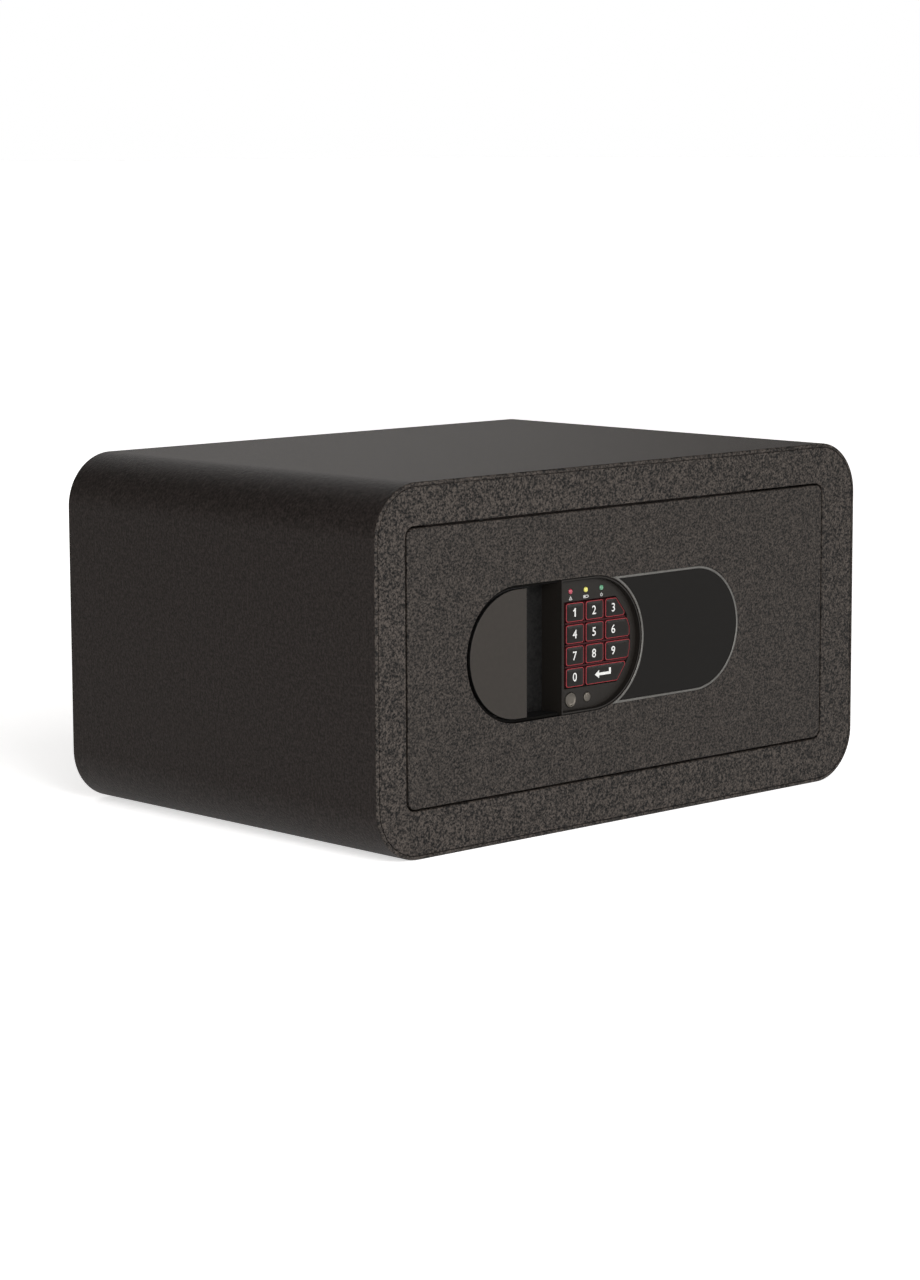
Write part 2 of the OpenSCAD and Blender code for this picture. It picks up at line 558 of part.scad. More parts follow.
// Flat plate with two ears that hold the bolts and an arm that carries the rack
module bolt_carriage() color(steel) {
    difference() {
        sheet(car_y, car_t) difference() {
            union() {
                translate([-100, bolt_z[0] - 8]) square([44, 2 * bolt_off + 16]);
                translate([-57, 75]) square([119, 15]);
            }
            for (p = post_at) slot2(p[0] - 0.3, p[0] + bolt_throw + 0.3, p[1], 3.08);
            for (z = bolt_z) translate([-98, z - 5.2]) square([4, 10.4]);
        }
        for (z = bolt_z) bar_x(bolt_y, z, 2.6, -101, -97);
    }
    for (z = bolt_z) difference() {
        block_ab([-100, -117, z - 8], [-98, car_y, z + 8]);
        bar_x(bolt_y, z, 2.6, -101, -97);
    }
}
module bolt_rack() color(steel) sheet(car_y + car_t, 4) {
    tp = PI * gear_module;
    translate([26, 87.5]) square([36, rack_z - 1.25 * gear_module - 87.5]);
    for (i = [-2:6]) translate([gear_x + (i + 0.5) * tp, rack_z]) polygon([
        [-tp / 4 - 1.26 * gear_module * tan(20) + backlash / 2, -1.26 * gear_module],
        [tp / 4 + 1.26 * gear_module * tan(20) - backlash / 2, -1.26 * gear_module],
        [tp / 4 - 0.85 * gear_module * tan(20) - backlash / 2, 0.85 * gear_module],
        [-tp / 4 + 0.85 * gear_module * tan(20) + backlash / 2, 0.85 * gear_module]]);
}
module lock_bolts() color(steel) for (z = bolt_z) difference() {
    union() {
        bar_x(bolt_y, z, bolt_d / 2, bolt_tip + 1, bolt_end);
        translate([bolt_tip, bolt_y, z]) rotate([0, 90, 0]) cylinder(r1 = bolt_d / 2 - 1, r2 = bolt_d / 2, h = 1);
    }
    bar_x(bolt_y, z, 2.5, bolt_end - 14, bolt_end + 1);
}
module bolt_screws() color(steel) for (z = bolt_z) {
    bar_x(bolt_y, z, 2.5, bolt_end - 12, -98);
    intersection() {
        bar_x(bolt_y, z, 4.6, -98, -94.8);
        translate([-98, bolt_y, z]) rotate([0, 90, 0]) cylinder(r = 4.9, h = 4, $fn = 6);
    }
}

// ---- lid and buttons ----
// Hinged lid over the batteries
module battery_cover() color(black) {
    difference() {
        union() {
            block_ab([54, -89, 104.3], [120.4, -87.4, 165.7]);
            block_ab([51.6, -89, 128], [54, -86.4, 142]);
        }
        for (i = [0:3]) block_ab([64 + i * 9, -88, 118], [66 + i * 9, -87, 152]);
    }
    bar_z(120.4, -87.2, 1.8, 104.3, 165.7);
    bar_z(120.4, -87.2, 1, 102, 168);
}
module code_button() color([0.6, 0.1, 0.1]) {
    bar_y(100, 57, 4, -92.3, -88);
    bar_y(100, 57, 5.4, -93.6, -92.3);
    bar_y(100, 57, 1.9, -110, -93.6);
}
// A key: rounded cap with a plunger behind it
module key(i) color([0.09, 0.09, 0.09]) {
    sheet(pad_y - 0.8, 3) hull() for (k = [0:len(key_shape[i]) - 1])
        translate(inset_corner(key_shape[i], 1.5, k)) circle(1.5, $fn = 32);
    bar_y(key_post[i][0], key_post[i][1], 2.4, pad_y + 2.2, -122.3);
}
module key_0() key(0);
module key_1() key(1);
module key_2() key(2);
module key_3() key(3);
module key_4() key(4);
module key_5() key(5);
module key_6() key(6);
module key_7() key(7);
module key_8() key(8);
module key_9() key(9);
module key_enter() key(10);

body_shell();
back_panel();
front_frame();
strike_plate();
door_stops();
door_buffers();
hinge_pins();
floor_mat();
door_plate();
hinge_blocks();
hinge_bushes();
door_tray();
inner_cover();
inner_cover_screws();
pocket_housing();
grip_plate();
grip_screws();
keypad_housing();
keypad_mat();
keypad_board();
keypad_screws();
led_red();
led_yellow();
led_green();
contact_large();
contact_small();
nameplate();
nameplate_trim();
control_board();
ribbon_cable();
wiring_loom();
battery_holder();
battery_contacts();
batteries();
drive_motor();
gearbox();
chassis_screws();
limit_switch();
bolt_bushes();
guide_screws();
drive_shaft();
drive_pinion();
bolt_carriage();
bolt_rack();
lock_bolts();
bolt_screws();
battery_cover();
code_button();
key_1();
key_2();
key_3();
key_4();
key_5();
key_6();
key_7();
key_8();
key_9();
key_0();
key_enter();
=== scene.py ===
import bpy
import bmesh
import math
import json
from mathutils import Matrix, Vector
from mathutils.geometry import tessellate_polygon


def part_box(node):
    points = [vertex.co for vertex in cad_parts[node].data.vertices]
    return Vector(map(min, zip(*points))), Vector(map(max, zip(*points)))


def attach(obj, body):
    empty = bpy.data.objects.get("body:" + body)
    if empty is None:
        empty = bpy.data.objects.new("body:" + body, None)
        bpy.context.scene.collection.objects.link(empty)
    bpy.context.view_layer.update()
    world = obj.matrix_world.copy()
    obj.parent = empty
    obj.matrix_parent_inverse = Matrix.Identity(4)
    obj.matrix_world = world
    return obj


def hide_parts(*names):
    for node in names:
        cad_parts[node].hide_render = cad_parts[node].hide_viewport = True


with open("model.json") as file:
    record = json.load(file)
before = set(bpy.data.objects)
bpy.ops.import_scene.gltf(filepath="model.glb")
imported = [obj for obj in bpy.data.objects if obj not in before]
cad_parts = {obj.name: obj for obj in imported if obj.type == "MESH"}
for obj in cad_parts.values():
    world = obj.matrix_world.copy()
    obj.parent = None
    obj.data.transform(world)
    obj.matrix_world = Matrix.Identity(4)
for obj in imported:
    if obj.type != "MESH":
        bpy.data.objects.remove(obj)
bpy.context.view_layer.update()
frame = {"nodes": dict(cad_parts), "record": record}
N = frame["nodes"]

# ---------------------------------------------------------------- materials


def new_mat(name):
    m = bpy.data.materials.new(name)
    m.use_nodes = True
    nt = m.node_tree
    nt.nodes.clear()
    out = nt.nodes.new("ShaderNodeOutputMaterial")
    bsdf = nt.nodes.new("ShaderNodeBsdfPrincipled")
    nt.links.new(bsdf.outputs["BSDF"], out.inputs["Surface"])
    return m, nt, bsdf


def coords(nt, scale=(1, 1, 1)):
    tc = nt.nodes.new("ShaderNodeTexCoord")
    mp = nt.nodes.new("ShaderNodeMapping")
    mp.inputs["Scale"].default_value = scale
    nt.links.new(tc.outputs["Object"], mp.inputs["Vector"])
    return mp.outputs["Vector"]


def noise(nt, vec, scale, detail=2.0, rough=0.5, w=0.0):
    n = nt.nodes.new("ShaderNodeTexNoise")
    n.inputs["Scale"].default_value = scale
    n.inputs["Detail"].default_value = detail
    n.inputs["Roughness"].default_value = rough
    nt.links.new(vec, n.inputs["Vector"])
    return n.outputs["Fac"]


def ramp(nt, fac, stops):
    r = nt.nodes.new("ShaderNodeValToRGB")
    e = r.color_ramp.elements
    while len(e) > 1:
        e.remove(e[-1])
    e[0].position = stops[0][0]
    e[0].color = (*stops[0][1], 1)
    for p, c in stops[1:]:
        k = e.new(p)
        k.color = (*c, 1)
    nt.links.new(fac, r.inputs["Fac"])
    return r.outputs["Color"]


def math_node(nt, op, a, b, c=None):
    m = nt.nodes.new("ShaderNodeMath")
    m.operation = op
    for i, v in enumerate((a, b, c)):
        if v is None:
            continue
        if isinstance(v, (int, float)):
            m.inputs[i].default_value = v
        else:
            nt.links.new(v, m.inputs[i])
    return m.outputs[0]


def bump(nt, bsdf, height, strength, distance):
    b = nt.nodes.new("ShaderNodeBump")
    b.inputs["Strength"].default_value = strength
    b.inputs["Distance"].default_value = distance
    nt.links.new(height, b.inputs["Height"])
    nt.links.new(b.outputs["Normal"], bsdf.inputs["Normal"])


def grey(v, tint=(1, 1, 1)):
    return tuple(v * t for t in tint)


WARM = (1.2, 1.0, 0.86)


def powder(name, low, high, rough, fine, coarse, mottle, strength, distance, tint=WARM, shine=(1, 1, 1), spec=0.12, span=0.13):
    """Textured powder coat: fine grains, some larger blotches and a matching bump."""
    m, nt, bsdf = new_mat(name)
    v = coords(nt)
    f = noise(nt, v, fine, 3.0, 0.6)
    c = noise(nt, v, coarse, 2.0, 0.5)
    mixed = math_node(nt, "MULTIPLY_ADD", c, mottle, math_node(nt, "MULTIPLY", f, 1.0 - mottle))
    col = ramp(nt, mixed, [(0.5 - span * 0.9, grey(low, tint)), (0.5, grey(low * 0.6 + high * 0.4, tint)), (0.5 + span * 1.08, grey(high, tint))])
    nt.links.new(col, bsdf.inputs["Base Color"])
    bsdf.inputs["Roughness"].default_value = rough
    bsdf.inputs["Specular IOR Level"].default_value = spec
    bsdf.inputs["Specular Tint"].default_value = (*shine, 1)
    bump(nt, bsdf, mixed, strength, distance)
    return m


def plastic(name, col, rough, var=0.1, scale=400.0, strength=0.05, distance=0.0001, spec=0.5):
    m, nt, bsdf = new_mat(name)
    v = coords(nt)
    f = noise(nt, v, scale, 2.0)
    c = ramp(nt, f, [(0.3, grey(1 - var, col)), (0.7, grey(1 + var, col))])
    nt.links.new(c, bsdf.inputs["Base Color"])
    bsdf.inputs["Roughness"].default_value = rough
    bsdf.inputs["Specular IOR Level"].default_value = spec
    bump(nt, bsdf, f, strength, distance)
    return m


def metal(name, col, rough, var=0.12, scale=(300, 300, 300), strength=0.08, distance=0.00005):
    m, nt, bsdf = new_mat(name)
    v = coords(nt, scale)
    f = noise(nt, v, 1.0, 3.0)
    c = ramp(nt, f, [(0.3, grey(1 - var, col)), (0.7, grey(1 + var, col))])
    nt.links.new(c, bsdf.inputs["Base Color"])
    r = nt.nodes.new("ShaderNodeMapRange")
    r.inputs["To Min"].default_value = rough * 0.8
    r.inputs["To Max"].default_value = min(1.0, rough * 1.25)
    nt.links.new(f, r.inputs["Value"])
    nt.links.new(r.outputs["Result"], bsdf.inputs["Roughness"])
    bsdf.inputs["Metallic"].default_value = 1.0
    bump(nt, bsdf, f, strength, distance)
    return m


def lens(name, col, glow):
    m, nt, bsdf = new_mat(name)
    v = coords(nt)
    f = noise(nt, v, 900.0, 1.0)
    c = ramp(nt, f, [(0.3, grey(0.85, col)), (0.7, grey(1.1, col))])
    nt.links.new(c, bsdf.inputs["Base Color"])
    nt.links.new(c, bsdf.inputs["Emission Color"])
    bsdf.inputs["Emission Strength"].default_value = glow
    bsdf.inputs["Roughness"].default_value = 0.2
    return m


M = {
    "cabinet_paint": powder("cabinet_powder", 0.001, 0.0148, 0.6, 700, 300, 0.25, 0.7, 0.0006, (1.22, 0.96, 0.915), (1.0, 0.875, 0.78), 0.157),
    "front_paint": powder("front_powder", 0.0, 0.0362, 0.55, 860, 490, 0.35, 1.0, 0.0009, span=0.09),
    "door_paint": powder("door_powder", 0.0005, 0.0315, 0.55, 860, 490, 0.25, 0.95, 0.0008, span=0.112),
    "inner_paint": powder("inner_powder", 0.015, 0.045, 0.6, 700, 200, 0.3, 0.25, 0.0002),
    "grip_paint": plastic("grip_satin", (0.0123, 0.0098, 0.0076), 0.45, spec=0.2),
    "zinc_steel": metal("zinc_plate", (0.42, 0.42, 0.4), 0.38),
    "bolt_steel": metal("ground_steel", (0.36, 0.36, 0.355), 0.3, scale=(60, 900, 900)),
    "bronze": metal("bronze", (0.55, 0.38, 0.18), 0.35),
    "rubber": plastic("rubber", (0.018, 0.018, 0.018), 0.8, 0.15, 600, 0.1),
    "felt": plastic("felt", (0.035, 0.035, 0.038), 0.95, 0.5, 1500, 0.5, 0.0006, 0.1),
    "pocket_plastic": plastic("pocket_black", (0.0026, 0.0025, 0.0024), 0.5, 0.9, 700, 0.5, 0.0004, spec=0.18),
    "housing_plastic": plastic("keypad_black", (0.0085, 0.0073, 0.0062), 0.5, 0.08, 900, 0.1, spec=0.12),
    "key_plastic": plastic("key_black", (0.0042, 0.0034, 0.0028), 0.3, 0.05, 300, spec=0.12),
    "mat_rubber": plastic("keypad_red_mat", (0.022, 0.0025, 0.0035), 0.6, spec=0.15),
    "board": plastic("board_green", (0.01, 0.09, 0.04), 0.4, 0.2, 300),
    "led_red": lens("led_red_lens", (0.2, 0.02, 0.035), 0.22),
    "led_yellow": lens("led_yellow_lens", (0.33, 0.31, 0.07), 0.32),
    "led_green": lens("led_green_lens", (0.05, 0.15, 0.085), 0.22),
    "contact_nickel": metal("contact_nickel", (0.09, 0.082, 0.071), 0.35),
    "name_plastic": plastic("nameplate_black", (0.0028, 0.0024, 0.002), 0.3, 0.05, spec=0.08),
    "trim_silver": metal("trim_silver", (0.108, 0.106, 0.1), 0.4),
    "cable_grey": plastic("cable_grey", (0.25, 0.25, 0.26), 0.5),
    "wire_red": plastic("wire_red", (0.5, 0.02, 0.02), 0.4),
    "cell_sleeve": plastic("cell_sleeve", (0.03, 0.05, 0.12), 0.35),
    "motor_steel": metal("motor_can", (0.36, 0.36, 0.36), 0.35),
    "box_plastic": plastic("box_plastic", (0.02, 0.02, 0.021), 0.5, 0.1, 800, 0.15),
    "nylon": plastic("nylon", (0.36, 0.345, 0.3), 0.5),
    "gear_brass": metal("gear_brass", (0.75, 0.55, 0.22), 0.3),
    "button_red": plastic("button_red", (0.3, 0.012, 0.014), 0.4),
    # near-black, almost unglossy material that paints shade: it stands in for the shade in the gaps and on the edges
    # round the door cut-out, the pocket and the keypad rim
    "painted_shade": plastic("painted_shade_black", (0.003, 0.0028, 0.0026), 0.7, 0.2, 500, spec=0.02),
    "mark_white": plastic("print_white", (0.4, 0.4, 0.39), 0.5, 0.04),
    "line_red": plastic("print_red", (0.19, 0.013, 0.018), 0.5, 0.06, spec=0.2),
    "key_edge": plastic("key_edge_red", (0.025, 0.002, 0.003), 0.5, 0.06, spec=0.2),
}

node_slot = {e["node"]: e["material_slot"] for e in frame["record"]["subparts"]}


def dress(obj, m):
    obj.data.materials.clear()
    obj.data.materials.append(m)


for n, o in N.items():
    s = node_slot.get(n, "inner_paint")
    # the hinge bushes are dressed in the same near-black painted-shade material
    dress(o, M[{"front_frame": "front_paint", "hinge_bushes": "painted_shade"}.get(n, s)])

# ---------------------------------------------------------------- shape helpers, in millimetres


def arc(cx, cz, r, a0, a1, n=24):
    return [(cx + r * math.cos(math.radians(a0 + (a1 - a0) * i / n)), cz + r * math.sin(math.radians(a0 + (a1 - a0) * i / n))) for i in range(n + 1)]


def clean(P):
    out = []
    for p in P:
        if not out or math.dist(p, out[-1]) > 1e-4:
            out.append(p)
    if math.dist(out[0], out[-1]) < 1e-4:
        out.pop()
    return out


def turned(P, ccw=True):
    s = sum(P[i - 1][0] * P[i][1] - P[i][0] * P[i - 1][1] for i in range(len(P)))
    return list(P) if (s > 0) == ccw else list(reversed(P))


def rrect(x0, z0, x1, z1, r, n=16):
    return clean(arc(x1 - r, z1 - r, r, 0, 90, n) + arc(x0 + r, z1 - r, r, 90, 180, n) + arc(x0 + r, z0 + r, r, 180, 270, n) + arc(x1 - r, z0 + r, r, 270, 360, n))


def circle(cx, cz, r, n=48):
    return clean(arc(cx, cz, r, 0, 360, n))


def d_left(cx, cz, r, x_edge, n=48):
    """Round on the left, straight on to x_edge."""
    return clean([(x_edge, cz + r)] + arc(cx, cz, r, 90, 270, n) + [(x_edge, cz - r)])


def d_right(cx, cz, r, x_edge, n=64):
    """Round on the right, straight on to x_edge."""
    return clean([(x_edge, cz - r)] + arc(cx, cz, r, -90, 90, n) + [(x_edge, cz + r)])


def offset(P, d):
    """Moves a closed loop by d to its left: into a counter-clockwise one, out of a clockwise one."""
    out = []
    n = len(P)
    for i in range(n):
        p0, p1, p2 = Vector(P[i - 1]), Vector(P[i]), Vector(P[(i + 1) % n])
        e1, e2 = (p1 - p0).normalized(), (p2 - p1).normalized()
        n1, n2 = Vector((-e1.y, e1.x)), Vector((-e2.y, e2.x))
        k = d / max(0.25, 1 + n1.dot(n2))
        out.append((p1.x + (n1.x + n2.x) * k, p1.y + (n1.y + n2.y) * k))
    return out


def rounded(P, r, n=6):
    """A convex loop with its corners rounded."""
    P = turned(P)
    out = []
    m = len(P)
    for i in range(m):
        p0, p1, p2 = Vector(P[i - 1]), Vector(P[i]), Vector(P[(i + 1) % m])
        u, v = (p1 - p0).normalized(), (p2 - p1).normalized()
        turn = math.atan2(u.x * v.y - u.y * v.x, u.dot(v))
        c = p1 + Vector((-u.y - v.y, u.x + v.x)) * (r / (1 + u.dot(v)))
        a0 = math.degrees(math.atan2(-u.x, u.y))
        a1 = a0 + math.degrees(turn)
        out += arc(c.x, c.y, r, a0, a1, max(2, int(n * abs(turn) / 1.57) + 1))
    return clean(out)


def make(name, bm, m, body, replaces=(), sharp=35.0, weighted=True):
    bmesh.ops.remove_doubles(bm, verts=bm.verts, dist=1e-7)
    bmesh.ops.recalc_face_normals(bm, faces=bm.faces)
    me = bpy.data.meshes.new(name)
    bm.to_mesh(me)
    bm.free()
    for p in me.polygons:
        p.use_smooth = True
    me.set_sharp_from_angle(angle=math.radians(sharp))
    o = bpy.data.objects.new(name, me)
    bpy.context.scene.collection.objects.link(o)
    if weighted:
        w = o.modifiers.new("weighted", "WEIGHTED_NORMAL")
        w.keep_sharp = True
    dress(o, m)
    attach(o, body)
    if replaces:
        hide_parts(*replaces)
    return o


def ring_verts(bm, loop, y):
    return [bm.verts.new((x / 1000, y / 1000, z / 1000)) for x, z in loop]


def skin(bm, a, b):
    n = len(a)
    for i in range(n):
        bm.faces.new((a[i], a[(i + 1) % n], b[(i + 1) % n], b[i]))


def cap(bm, loops):
    """Flat face between an outer loop of vertices and its holes."""
    tris = tessellate_polygon([[v.co for v in l] for l in loops])
    flat = [v for l in loops for v in l]
    for t in tris:
        try:
            bm.faces.new([flat[i] for i in t])
        except ValueError:
            pass


def plate_into(bm, outer, holes, y0, y1, front=0.3, back=0.1, steps=3):
    """A plate from y0 (seen from the front) to y1, its edges rounded."""
    loops = [turned(outer)] + [turned(h, False) for h in holes]
    prof = []
    for k in range(steps + 1):
        a = math.pi / 2 * k / steps
        prof.append((front * (1 - math.sin(a)), y0 + front * (1 - math.cos(a))))
    for k in range(steps + 1):
        a = math.pi / 2 * k / steps
        prof.append((back * (1 - math.cos(a)), y1 - back * (1 - math.sin(a))))
    firsts, lasts = [], []
    for l in loops:
        rings = [ring_verts(bm, offset(l, i) if i > 1e-6 else l, y) for i, y in prof]
        for a, b in zip(rings, rings[1:]):
            skin(bm, a, b)
        firsts.append(rings[0])
        lasts.append(rings[-1])
    cap(bm, firsts)
    cap(bm, lasts)


def sweep_into(bm, outline, prof, closed=True):
    """Carries a profile of (inset, y) round an outline."""
    rings = [ring_verts(bm, offset(outline, i) if abs(i) > 1e-6 else outline, y) for i, y in prof]
    for a, b in zip(rings, rings[1:]):
        skin(bm, a, b)
    if closed:
        skin(bm, rings[-1], rings[0])
    return rings


def turn_into(bm, cx, cz, prof, n=48):
    """A round part about an axis along y: prof is (radius, y), from its front middle to its back middle."""
    rings = []
    for r, y in prof:
        if r < 1e-6:
            rings.append(bm.verts.new((cx / 1000, y / 1000, cz / 1000)))
        else:
            rings.append(ring_verts(bm, circle(cx, cz, r, n), y))
    for a, b in zip(rings, rings[1:]):
        if not isinstance(a, list):
            for i in range(n):
                bm.faces.new((a, b[i], b[(i + 1) % n]))
        elif not isinstance(b, list):
            for i in range(n):
                bm.faces.new((b, a[(i + 1) % n], a[i]))
        else:
            skin(bm, a, b)


def quarter(i0, y0, i1, y1, kind, n=5):
    """Points of a quarter bend between two profile points. kind 'in' leaves along y first, 'out' along the inset first."""
    out = []
    for k in range(n + 1):
        a = math.pi / 2 * k / n
        if kind == "in":
            out.append((i0 + (i1 - i0) * (1 - math.cos(a)), y0 + (y1 - y0) * math.sin(a)))
        else:
            out.append((i0 + (i1 - i0) * math.sin(a), y0 + (y1 - y0) * (1 - math.cos(a))))
    return out


def cut_holes(o, cutters):
    """Cuts round holes. Each cutter is (middle, axis, radius, depth) in millimetres."""
    for mid, axis, r, depth in cutters:
        bm = bmesh.new()
        bmesh.ops.create_cone(bm, cap_ends=True, segments=48, radius1=r / 1000, radius2=r / 1000, depth=depth / 1000)
        me = bpy.data.meshes.new("cutter")
        bm.to_mesh(me)
        bm.free()
        c = bpy.data.objects.new("cutter", me)
        bpy.context.scene.collection.objects.link(c)
        c.location = Vector(mid) / 1000
        c.rotation_euler = Vector(axis).to_track_quat("Z", "Y").to_euler()
        b = o.modifiers.new("hole", "BOOLEAN")
        b.operation = "DIFFERENCE"
        b.solver = "EXACT"
        b.object = c
        bpy.context.view_layer.update()
        got = bpy.data.meshes.new_from_object(o.evaluated_get(bpy.context.evaluated_depsgraph_get()))
        o.modifiers.remove(b)
        o.data = got
        bpy.data.objects.remove(c)


# ---------------------------------------------------------------- main sizes

FRONT, BACK = -130.0, 130.0
W, H, R, T = 380.0, 200.0, 30.0, 2.0
SEAM = 0.4
dp0, dp1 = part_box("door_plate")
DX0, DX1, DZ0, DZ1 = dp0.x * 1000, dp1.x * 1000, dp0.z * 1000, dp1.z * 1000
ff0, ff1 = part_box("hinge_pins")
GAP = 1.1
DOOR_R = 5.0
OX0, OX1, OZ0, OZ1 = DX0 - GAP, DX1 + GAP, DZ0 - GAP, DZ1 + GAP
CZ = 101.95
CLX, CRX, CR = -87.6, -28.3, 37.4
shell_line = rrect(-W / 2, 0, W / 2, H, R, 24)

# ---------------------------------------------------------------- cabinet

bm = bmesh.new()
prof = [(0, BACK - 0.3)] + [(0.9 * (1 - math.cos(k * math.pi / 10)), FRONT + 0.9 * (1 - math.sin(k * math.pi / 10))) for k in range(6)] + [(T - 0.15, FRONT), (T - 0.03, FRONT + 0.05), (T, FRONT + 0.2), (T, BACK), (0.3, BACK)]
sweep_into(bm, turned(shell_line), prof)
shell = make("shell_skin", bm, M["cabinet_paint"], "cabinet", ["body_shell"])
shell.data.materials.append(M["front_paint"])
for p in shell.data.polygons:
    if p.normal.y < -0.3 and p.center.y * 1000 < FRONT + 1:
        p.material_index = 1
cut_holes(shell, [((sx * 120, sy * 70, 1), (0, 0, 1), 5, 8) for sx in (-1, 1) for sy in (-1, 1)])

bm = bmesh.new()
open_line = rrect(OX0, OZ0, OX1, OZ1, DOOR_R + GAP, 12)
e = T + SEAM
rim_line = [(e + 0.25, FRONT), (e + 0.07, FRONT + 0.06), (e, FRONT + 0.25), (e, FRONT + 1), (T + 0.06, FRONT + 1)]
rim_line += [(T + 0.06, FRONT + 7.9), (T + 0.16, FRONT + 8), (T + 1.6, FRONT + 8), (T + 1.6, FRONT + T)]
bend = 0.8
jamb = turned(open_line, False)
prof = [(bend, FRONT)] + quarter(bend, FRONT, 0, FRONT + bend, "out", 4)[1:] + [(0, -94.2), (0.2, -94), (T, -94), (T, FRONT + T)]
rings = sweep_into(bm, jamb, prof, closed=False)
outer = [ring_verts(bm, turned(offset(turned(shell_line), i)), y) for i, y in rim_line]
for a, b in zip(outer, outer[1:]):
    skin(bm, a, b)
cap(bm, [outer[0], rings[0]])
cap(bm, [outer[-1], rings[-1]])
front_skin = make("front_skin", bm, M["front_paint"], "cabinet", ["front_frame"])
cut_holes(front_skin, [((OX0 - 1, -109, z), (1, 0, 0), 9, 8) for z in (CZ - 52, CZ + 52)])

bm = bmesh.new()
plate_into(bm, offset(turned(shell_line), T), [circle(sx * 100, 100, 5) for sx in (-1, 1)], 127.5, 129.5, 0.1, 0.4)
make("back_skin", bm, M["cabinet_paint"], "cabinet", ["back_panel"])

# ---------------------------------------------------------------- door

cut_line = clean(arc(CLX, CZ, CR, 90, 270, 48) + arc(CRX, CZ, CR, -90, 90, 48))


def name_loop(i, rb):
    h = 35.4 - i
    a = math.degrees(math.asin(h / rb))
    return clean(arc(53.5, CZ, h, -90, 90, 48) + arc(CRX, CZ, rb, a, -a, 64))


def tube_into(bm, cx, cz, ro, ri, y0, y1, n=32):
    sweep_into(bm, circle(cx, cz, ro, n), [(0, y0 + 0.2), (0.2, y0), (ro - ri, y0), (ro - ri, y1), (0, y1)])


bm = bmesh.new()
line = turned(rrect(DX0, DZ0, DX1, DZ1, DOOR_R, 12))
de = 0.6
edge = quarter(de, FRONT, 0, FRONT + de, "out", 4)
edge = [(de * (1 - math.sin(k * math.pi / 8)), FRONT + de * (1 - math.cos(k * math.pi / 8))) for k in range(5)]
outer = [ring_verts(bm, offset(line, i) if i > 1e-6 else line, y) for i, y in edge + [(0, -126.2), (0.2, -126)]]
for a, b in zip(outer, outer[1:]):
    skin(bm, a, b)
hole = turned(cut_line, False)
inner = [ring_verts(bm, offset(hole, i) if i > 1e-6 else hole, y) for i, y in [(0.15, FRONT), (0.04, FRONT + 0.04), (0, FRONT + 0.15), (0, -126)]]
for a, b in zip(inner, inner[1:]):
    skin(bm, a, b)
seat = turned(name_loop(-0.04, 37.86), False)
s0, s1 = ring_verts(bm, seat, FRONT), ring_verts(bm, seat, -128.8)
skin(bm, s0, s1)
cap(bm, [outer[0], inner[0], s0])
cap(bm, [s1])
cap(bm, [outer[-1], inner[-1]])
for x, z in ((-76, 52), (-76, 152), (14, 81.5)):
    tube_into(bm, x, z, 5, 1.6, -107.75, -125.99)
for x, z in ((61, 45), (107, 45), (61, 69), (107, 69)):
    tube_into(bm, x, z, 2.5, 1.2, -118, -125.99)
door = make("door_skin", bm, M["door_paint"], "door", ["door_plate"])
# the walls of the round cut-out, seen in the gap round the grip and keypad, are painted near-black as shade
door.data.materials.append(M["painted_shade"])
for p in door.data.polygons:
    c = p.center * 1000
    if abs(p.normal.y) < 0.6 and -126 < c.x < 10 and CZ - CR - 1 < c.z < CZ + CR + 1 and c.y < -125.9:
        p.material_index = 1

bm = bmesh.new()
plate_into(bm, d_left(CLX + 0.3, CZ, 35.2, -80.3), [], FRONT, -127.5, 0.3, 0.2, 4)
for x, z in ((-106, 82), (-106, 122), (-115, CZ)):
    turn_into(bm, x, z, [(0, -127.6), (3.2, -127.6), (3.2, -115), (0, -115)], 32)
grip = make("grip_skin", bm, M["grip_paint"], "door", ["grip_plate"])
# the grip plate's side faces take the black pocket plastic as painted shade: they stand for the dark gap round the
# plate
grip.data.materials.append(M["pocket_plastic"])
for p in grip.data.polygons:
    if abs(p.normal.y) < 0.6:
        p.material_index = 1

bm = bmesh.new()
ro, ri = CR - 0.15, CR - 1.6
wall = clean([(-54.1, CZ + ro)] + arc(CLX, CZ, ro, 90, 270, 48) + [(-54.1, CZ - ro), (-54.1, CZ - ri)] + arc(CLX, CZ, ri, 270, 90, 48) + [(-54.1, CZ + ri)])
plate_into(bm, wall, [], -128.2, -115, 0.25, 0.01)
well = clean(arc(CLX, CZ, ro, 90, 270, 48) + [(-54.1, CZ - ro), (-54.1, CZ + ro)])
plate_into(bm, well, [], -115, -113.4, 0.01, 0.3)
pocket = make("pocket_skin", bm, M["pocket_plastic"], "door", ["pocket_housing"])
# the front rim of the pocket wall is painted near-black as shade in the gap
pocket.data.materials.append(M["painted_shade"])
for p in pocket.data.polygons:
    if p.center.y < -0.1278:
        p.material_index = 1

# ---------------------------------------------------------------- inner side of the door


def rod_z(bm, x, y, z0, z1, r, edge=0.2, n=28):
    """A round bar along z with chamfered ends."""
    rings = []
    for rr, z in ((r - edge, z0), (r, z0 + edge), (r, z1 - edge), (r - edge, z1)):
        rings.append([bm.verts.new(((x + rr * math.cos(2 * math.pi * k / n)) / 1000, (y + rr * math.sin(2 * math.pi * k / n)) / 1000, z / 1000)) for k in range(n)])
    for a, b in zip(rings, rings[1:]):
        skin(bm, a, b)
    bm.faces.new(rings[0])
    bm.faces.new(rings[-1])


